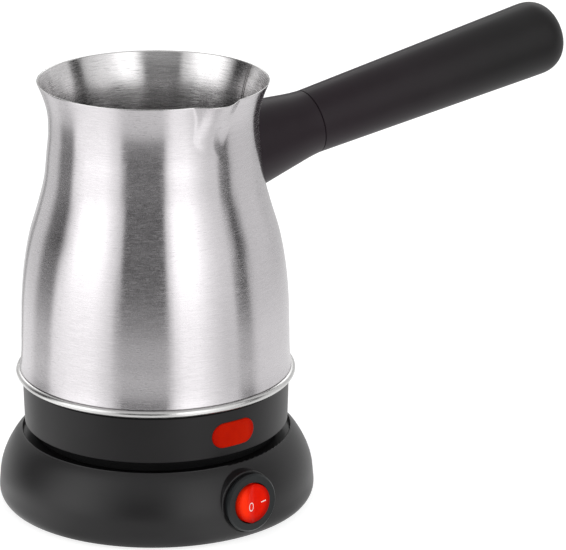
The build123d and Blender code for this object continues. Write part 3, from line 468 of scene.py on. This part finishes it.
# bead, from underneath outwards and round to the groove above it
profile.append(("abs", 55.2, 53.45, 1))
for k in range(0, 23):
    ang = radians(-112 + k * (112 + 108) / 22)
    profile.append(("abs", BEAD_R + BEAD_T * cos(ang), BEAD_Z + BEAD_T * sin(ang), 1))
profile.append(("abs", 55.12, 56.30, 1))
profile.append(("abs", 55.22, 56.42, 0))
profile.append(("wall", 0.10, 56.52, 0))
for z in outer_z:
    profile.append(("wall", 0.0, z, 0))
for k in range(1, 8):
    ang = radians(180.0 * k / 8)
    profile.append(("rim", 0.35 - 0.35 * cos(ang), 176.35 + 0.35 * sin(ang), 2))
for z in inner_z:
    profile.append(("in", 0.7, z, 3))
profile.append(("abs", 54.9, 56.2, 3))
profile.append(("abs", 54.95, 53.45, 3))

verts = []
for kind, x, z, mi in profile:
    for az in azs:
        if kind == "abs":
            r = x
        elif kind == "wall":
            r = pot_r(z) + lobe(z, az) - x + 0.35 * seam(az) * -1.0
        elif kind == "rim":
            r = pot_r(z) + lobe(z, az) - x
        else:
            r = pot_r(z) + lobe(z, az) - x + seam(az)
        verts.append((r * sin(radians(az)) * MM, -r * cos(radians(az)) * MM, z * MM))
faces = grid_faces(len(profile), len(azs), wrap_cols=True, wrap_rows=True)
fm = []
for i in range(len(profile)):
    j = (i + 1) % len(profile)
    k = profile[i][3] if profile[i][3] != 2 or profile[j][3] != 3 else 2
    fm += [{0: 0, 1: 1, 2: 1, 3: 2}[k]] * len(azs)
steel_body = new_mesh("steel_body", verts, faces, [STEEL, STEEL_BEAD, STEEL_IN], face_mats=fm)
steel_body.data.set_sharp_from_angle(angle=radians(50))
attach(steel_body, "pot")
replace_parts(steel_body, "pot_shell")

# ---------------------------------------------------------------------- rocker
SW_O = Vector((5.44743, -64.8717, 16.0))
SW_OUT = Vector((0.083474, -0.994065, 0.069756)).normalized()
SW_UP = Vector((-0.005837, 0.069512, 0.997564)).normalized()
SW_RIGHT = SW_UP.cross(SW_OUT).normalized()
if SW_RIGHT.x < 0:
    SW_RIGHT = -SW_RIGHT
RK = radians(12.0)
RK_X = SW_RIGHT * cos(RK) - SW_OUT * sin(RK)
RK_Z = SW_OUT * cos(RK) + SW_RIGHT * sin(RK)
RK_Y = SW_UP


def rk_point(x, y, z):
    return (SW_O + RK_X * x + RK_Y * y + RK_Z * z) * MM


def soft_min(a, b, k):
    h = max(0.0, min(1.0, 0.5 + 0.5 * (b - a) / k))
    return b * (1 - h) + a * h - k * h * (1 - h)


def soft_abs(x, k):
    return sqrt(x * x + k * k)


def rocker_top(x, y):
    """Height of the rocker's face: two flats in a shallow V and a sloping shoulder at the raised end."""
    face = 2.02 + 0.205 * (soft_abs(x, 0.5) - 0.25)
    cx, rad = 5.0, 9.55
    d = sqrt((x - cx) ** 2 + (y * 1.02) ** 2) - rad
    shoulder = face + 0.25 - 0.80 * d
    return soft_min(face, shoulder, 0.35)


RINGS, SEGS = 30, 128
verts, faces = [], []
R_TOP = 7.65
for i in range(RINGS + 1):
    f = i / RINGS
    rr = R_TOP * f
    for j in range(SEGS):
        t = 2 * pi * j / SEGS
        x, y = rr * cos(t), rr * sin(t)
        verts.append(rk_point(x, y, rocker_top(x, y)))
side = []
for k in range(1, 6):                      # rounded edge
    ang = radians(90.0 * k / 5)
    for j in range(SEGS):
        t = 2 * pi * j / SEGS
        x0, y0 = R_TOP * cos(t), R_TOP * sin(t)
        zt = rocker_top(x0, y0)
        er = 0.42
        lim = 8.2 - 0.163 * max(0.0, zt - er)
        r = min(lim, R_TOP + er * sin(ang))
        verts.append(rk_point(r * cos(t), r * sin(t), zt - er * (1 - cos(ang))))
for zz, rr in ((0.0, 8.15), (-1.8, 7.8), (-3.6, 7.48)):
    for j in range(SEGS):
        t = 2 * pi * j / SEGS
        x0, y0 = R_TOP * cos(t), R_TOP * sin(t)
        verts.append(rk_point(rr * cos(t), rr * sin(t), min(zz, rocker_top(x0, y0) - 0.5)))
for rr, zz in ((6.6, -3.6), (6.8, -0.5), (6.5, 0.7), (2.6, 0.8), (2.5, -5.4), (1.65, -5.4), (1.65, -0.4), (0.001, -0.4)):
    for j in range(SEGS):
        t = 2 * pi * j / SEGS
        verts.append(rk_point(rr * cos(t), rr * sin(t), zz))
nrow = len(verts) // SEGS
faces = grid_faces(nrow, SEGS, wrap_cols=True)
rocker_cap = new_mesh("rocker_button", verts, faces, [ROCKER])
# weld the fans at the two centres
import bmesh
bm = bmesh.new()
bm.from_mesh(rocker_cap.data)
bmesh.ops.remove_doubles(bm, verts=bm.verts, dist=0.000003)
bmesh.ops.dissolve_degenerate(bm, dist=0.000001, edges=bm.edges)
bmesh.ops.recalc_face_normals(bm, faces=bm.faces)
bm.to_mesh(rocker_cap.data)
bm.free()
rocker_cap.data.shade_smooth()
rocker_cap.data.set_sharp_from_angle(angle=radians(38))
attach(rocker_cap, "rocker")


def trunnion(sign, name):
    vs, n = [], 32
    for d, r in ((7.0, 1.2), (9.4, 1.2), (9.65, 0.95)):
        for j in range(n):
            t = 2 * pi * j / n
            vs.append(rk_point(r * cos(t), sign * d, r * sin(t)))
    fs = grid_faces(3, n, wrap_cols=True) + [tuple(range(n)), tuple(reversed(range(2 * n, 3 * n)))]
    ob = new_mesh(name, vs, fs, [ROCKER], sharp_deg=40)
    b = bmesh.new()
    b.from_mesh(ob.data)
    bmesh.ops.recalc_face_normals(b, faces=b.faces)
    b.to_mesh(ob.data)
    b.free()
    ob.data.set_sharp_from_angle(angle=radians(40))
    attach(ob, "rocker")
    return ob


for sign, nm in ((1, "rocker_pin_upper"), (-1, "rocker_pin_lower")):
    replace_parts(trunnion(sign, nm), "rocker")
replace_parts(rocker_cap, "rocker")


def mark(name, outline, inner=None, lift=0.045):
    """A printed mark that follows the rocker's face. outline and inner are closed lists of (x, y)."""
    vs, fs = [], []
    if inner is None:
        n = len(outline)
        for (x, y) in outline:
            vs.append(rk_point(x, y, rocker_top(x, y) + lift))
        for (x, y) in outline:
            vs.append(rk_point(x, y, rocker_top(x, y) - 0.05))
        fs.append(tuple(range(n)))
        fs.append(tuple(reversed(range(n, 2 * n))))
        for j in range(n):
            fs.append((j, n + j, n + (j + 1) % n, (j + 1) % n))
    else:
        n = len(outline)
        for zz in (lift, -0.05):
            for ring in (outline, inner):
                for (x, y) in ring:
                    vs.append(rk_point(x, y, rocker_top(x, y) + zz))
        for j in range(n):
            k = (j + 1) % n
            fs.append((j, k, n + k, n + j))
            fs.append((2 * n + j, 3 * n + j, 3 * n + k, 2 * n + k))
            fs.append((j, 2 * n + j, 2 * n + k, k))
            fs.append((n + j, n + k, 3 * n + k, 3 * n + j))
    ob = new_mesh(name, vs, fs, [INK], smooth=False)
    b = bmesh.new()
    b.from_mesh(ob.data)
    bmesh.ops.recalc_face_normals(b, faces=b.faces)
    b.to_mesh(ob.data)
    b.free()
    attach(ob, "rocker")
    return ob


TURN = radians(8.0)      # the marks stand a little turned


def turn2(x, y):
    return (x * cos(TURN) - y * sin(TURN), x * sin(TURN) + y * cos(TURN))


def ellipse(cx, cy, rx, ry, n=48):
    pts = []
    for j in range(n):
        t = 2 * pi * j / n
        px, py = turn2(rx * cos(t), ry * sin(t))
        pts.append((cx + px, cy + py))
    return pts


mark("mark_zero", ellipse(-2.2, -0.9, 1.62, 1.80), ellipse(-2.2, -0.9, 1.28, 1.47))
dash = []
for (x, y) in ((-1.18, -0.19), (0.0, -0.19), (1.18, -0.19), (1.18, 0.19), (0.0, 0.19), (-1.18, 0.19)):
    px, py = turn2(x, y)
    dash.append((4.6 + px, -0.2 + py))
mark("mark_dash", dash)

# -------------------------------------------------------- materials of the rest
BY_NODE = {
    "base_housing": BLACK_BASE, "base_cover": BLACK_INNER, "rubber_feet": RUBBER, "base_screws": ZINC,
    "cord_gland": RUBBER, "connector_hub": BLACK_INNER, "hub_live_contact": BRASS, "hub_neutral_contact": BRASS,
    "hub_earth_contact": BRASS, "switch_housing": BLACK_SWITCH, "switch_terminal_in": BRASS, "switch_terminal_out": BRASS,
    "rocker_plunger": CERAMIC, "rocker_spring": ZINC, "contact_lever": BRASS, "base_wire_live": SLEEVE,
    "base_wire_neutral": SLEEVE, "base_wire_load": SLEEVE, "pot_floor": STEEL_FLOOR, "pot_gasket": SILICONE,
    "pot_ring": BLACK_RING, "indicator_lens": LENS, "neon_lamp": lamp_mat, "pot_base_cover": BLACK_INNER,
    "pot_studs": ZINC, "pot_screws": ZINC, "heat_plate": ALUMINIUM, "heating_element": SHEATH, "thermostat": CERAMIC,
    "thermal_fuse": ZINC, "pot_socket": BLACK_INNER, "socket_pin": BRASS, "socket_ring_neutral": BRASS,
    "socket_ring_earth": BRASS, "pot_wire_fuse": SLEEVE, "lamp_wire": SLEEVE, "handle_neck": BLACK_HANDLE,
    "handle_bracket": ZINC, "handle_grip": BLACK_HANDLE, "handle_rod": ZINC, "handle_nut": ZINC, "handle_cap": BLACK_HANDLE,
}
for n, ob in nodes.items():
    if n in BY_NODE:
        if len(ob.material_slots) == 0:
            ob.data.materials.append(BY_NODE[n])
        for s in ob.material_slots:
            s.material = BY_NODE[n]

# ------------------------------------------------------------------------ stage
def disc(name, radius, z, mat, rings=1, segs=96, centre=(0.0, 0.0)):
    vs = [(centre[0], centre[1], z)]
    for i in range(1, rings + 1):
        for j in range(segs):
            t = 2 * pi * j / segs
            vs.append((centre[0] + radius * i / rings * cos(t), centre[1] + radius * i / rings * sin(t), z))
    fs = [(0, 1 + j, 1 + (j + 1) % segs) for j in range(segs)]
    for i in range(rings - 1):
        for j in range(segs):
            a0 = 1 + i * segs + j
            b0 = 1 + i * segs + (j + 1) % segs
            fs.append((a0, a0 + segs, b0 + segs, b0))
    ob = new_mesh(name, vs, fs, [mat], smooth=False)
    return ob


floor_mat, g, p = principled("floor_pale")
fl = g.noise(g.mapped((1, 1, 1)), scale=3.0, detail=2.0)
g.link(g.mix(fl, (0.40, 0.40, 0.40), (0.42, 0.42, 0.42)), p.inputs["Base Color"])
p.inputs["Roughness"].default_value = 0.9
p.inputs["Specular IOR Level"].default_value = 0.1
p.inputs["Emission Color"].default_value = (1, 1, 1, 1)
p.inputs["Emission Strength"].default_value = 0.80
floor = disc("floor", 8.5, -0.0002, floor_mat)

# backdrop seen only by the camera: a plain white dome
back_mat = bpy.data.materials.new("backdrop_white")
g = Graph(back_mat)
o = g.add("ShaderNodeOutputMaterial")
e = g.add("ShaderNodeEmission")
e.inputs["Color"].default_value = (1, 1, 1, 1)
e.inputs["Strength"].default_value = 1.15
g.link(e.outputs[0], o.inputs["Surface"])
vs, fs = [], []
for i in range(0, 13):
    el = radians(90.0 * i / 12)
    for j in range(64):
        t = 2 * pi * j / 64
        vs.append((8.4 * cos(el) * cos(t), 8.4 * cos(el) * sin(t), 8.4 * sin(el) - 0.01))
fs = grid_faces(13, 64)
backdrop = new_mesh("backdrop", vs, fs, [back_mat])
for attr in ("visible_diffuse", "visible_glossy", "visible_transmission", "visible_volume_scatter", "visible_shadow"):
    setattr(backdrop, attr, False)

# what the steel sees of the table: light near the pot, dark further out towards the camera side
V_PLAN = Vector((-0.53686, -0.84367, 0.0))       # from the object towards the camera, in plan
R_PLAN = Vector((0.84367, -0.53686, 0.0))        # to the right of it
card_mat = bpy.data.materials.new("table_card")
g = Graph(card_mat)
o = g.add("ShaderNodeOutputMaterial")
e = g.add("ShaderNodeEmission")
tc = g.add("ShaderNodeTexCoord")
pos = tc.outputs["Object"]
dx = g.vmath("DOT_PRODUCT", pos, tuple(R_PLAN))
dy = g.vmath("DOT_PRODUCT", pos, tuple(V_PLAN))
rad = g.vmath("LENGTH", pos)
phi = g.math("DEGREES", g.math("ARCTAN2", dx, dy))
near = g.ramp(g.remap(rad, 0.0, 1.0, 0.0, 1.0), [(0.0, 0.95), (0.20, 0.88), (0.32, 0.70), (0.40, 0.38), (0.52, 0.03), (1.0, 0.02)])
far = g.ramp(g.remap(rad, 0.0, 1.0, 0.0, 1.0), [(0.0, 1.26), (0.30, 1.28), (1.0, 1.35)])
side_w = g.ramp(g.remap(phi, -180, 180, 0.0, 1.0), [
    (0.0, 0.55), ((-120 + 180) / 360, 0.55), ((-110 + 180) / 360, 0.12), ((-94 + 180) / 360, 0.12), ((-87 + 180) / 360, 1.0),
    ((-34 + 180) / 360, 1.0), ((-29 + 180) / 360, 0.0), ((12.5 + 180) / 360, 0.0), ((16.5 + 180) / 360, 1.0),
    ((70 + 180) / 360, 1.0), ((74 + 180) / 360, 0.02), ((85 + 180) / 360, 0.02), ((89 + 180) / 360, 0.66), (1.0, 0.66)])
side_m = g.ramp(g.remap(phi, -180, 180, 0.0, 1.0), [
    (0.0, 1.0), ((-50 + 180) / 360, 1.0), ((-34 + 180) / 360, 0.72), ((-25 + 180) / 360, 0.72), ((10 + 180) / 360, 0.75), ((17 + 180) / 360, 0.78), ((24 + 180) / 360, 1.0), ((36 + 180) / 360, 1.0), ((52 + 180) / 360, 0.74), ((60 + 180) / 360, 0.64), ((85 + 180) / 360, 0.64), ((92 + 180) / 360, 0.82), ((115 + 180) / 360, 0.82), ((135 + 180) / 360, 0.75), (1.0, 0.75)])
# two thin dark lines, seen along the left edge of the pot
edge = g.ramp(g.remap(phi, -180, 180, 0.0, 1.0), [
    (0.0, 0.1), ((-171 + 180) / 360, 0.1), ((-166 + 180) / 360, 1.0), ((-151 + 180) / 360, 1.0), ((-149 + 180) / 360, 0.5), ((-143 + 180) / 360, 0.5), ((-141 + 180) / 360, 1.0), (1.0, 1.0)])
g.link(g.mix(1.0, g.mix(side_w, near, g.mix(1.0, far, side_m, "MULTIPLY")), edge, "MULTIPLY"), e.inputs["Color"])
e.inputs["Strength"].default_value = 1.0
g.link(e.outputs[0], o.inputs["Surface"])
card = disc("table_card", 3.0, 0.0001, card_mat)
for attr in ("visible_camera", "visible_diffuse", "visible_transmission", "visible_volume_scatter", "visible_shadow"):
    setattr(card, attr, False)

# studio: soft boxes left and right of the camera, dark gaps between them, soft overhead light
world = bpy.data.worlds.new("studio")
scene.world = world
g = Graph(world)
o = g.add("ShaderNodeOutputWorld")
bg = g.add("ShaderNodeBackground")
tc = g.add("ShaderNodeTexCoord")
d = tc.outputs["Generated"]
dx = g.vmath("DOT_PRODUCT", d, tuple(R_PLAN))
dy = g.vmath("DOT_PRODUCT", d, tuple(V_PLAN))
dz = g.vmath("DOT_PRODUCT", d, (0.0, 0.0, 1.0))
phi = g.math("DEGREES", g.math("ARCTAN2", dx, dy))
elev = g.math("DEGREES", g.math("ARCSINE", dz))


def at_phi(a):
    return (a + 180.0) / 360.0


round_stops = [
    (-180, 0.05), (-168, 0.05), (-162, 0.76), (-140, 0.72), (-126, 0.62), (-114, 0.04), (-94, 0.03),
    (-85, 1.2), (-74, 2.05), (-50, 2.05), (-38, 1.3), (-28, 0.85), (-25, 0.03), (10.5, 0.02), (13.5, 1.15), (19, 1.75), (26, 2.1),
    (38, 2.1), (50, 1.45), (60, 1.02), (72, 0.82), (76, 0.04), (88, 0.03), (92, 0.76), (130, 0.77), (150, 0.70), (180, 0.66),
]
# the right-hand dark gap leans outwards as it goes up
lean = g.math("MULTIPLY", g.remap(elev, 0.0, 16.0, 0.0, 12.0), g.ramp(g.remap(phi, -180, 180, 0, 1), [(at_phi(55), 0.0), (at_phi(75), 1.0), (at_phi(100), 1.0), (at_phi(125), 0.0)]))
# and the one behind the camera widens
wide_r = g.math("MULTIPLY", g.math("ADD", g.remap(elev, 5.0, 13.0, 0.0, 0.3), g.remap(elev, 22.0, 32.0, 0.0, 5.0)), g.ramp(g.remap(phi, -180, 180, 0, 1), [(at_phi(0), 0.0), (at_phi(6), 1.0), (at_phi(24), 1.0), (at_phi(40), 0.0)]))
wide_l = g.math("MULTIPLY", g.remap(elev, 5.0, 13.0, 0.0, 2.0), g.ramp(g.remap(phi, -180, 180, 0, 1), [(at_phi(-55), 0.0), (at_phi(-36), 1.0), (at_phi(-22), 1.0), (at_phi(-10), 0.0)]))
lean = g.math("ADD", lean, g.math("SUBTRACT", wide_r, wide_l))
ring_light = g.ramp(g.remap(g.math("SUBTRACT", phi, lean), -180, 180, 0, 1), [(at_phi(a), v) for a, v in round_stops])
top = g.ramp(g.remap(elev, -90, 90, 0, 1), [(0.0, 0.6), (0.5, 0.0), (0.73, 0.0), (0.81, 1.0), (1.0, 1.0)])
# the gap behind the camera is lit a little higher up
front = g.ramp(g.remap(phi, -180, 180, 0, 1), [(at_phi(-30), 0.0), (at_phi(-25), 1.0), (at_phi(15), 1.0), (at_phi(19), 0.0)])
upper = g.math("MULTIPLY", front, g.remap(elev, 24.0, 33.0, 0.0, 1.0))
ring_light = g.mix(upper, ring_light, (0.62, 0.62, 0.62))
# a light behind the object, above it, draws the upper edges of the handle
back = g.ramp(g.remap(phi, -180, 180, 0, 1), [(0.0, 1.0), (at_phi(-150), 1.0), (at_phi(-140), 0.0), (at_phi(140), 0.0), (at_phi(150), 1.0), (1.0, 1.0)])
back = g.math("MULTIPLY", back, g.remap(elev, 17.0, 25.0, 0.0, 1.0))
back = g.math("MULTIPLY", back, g.remap(elev, 34.0, 42.0, 1.0, 0.0))
ring_light = g.mix(back, ring_light, (2.1, 2.1, 2.1))
g.link(g.mix(top, ring_light, (0.70, 0.70, 0.70)), bg.inputs["Color"])
bg.inputs["Strength"].default_value = 1.0
g.link(bg.outputs[0], o.inputs["Surface"])
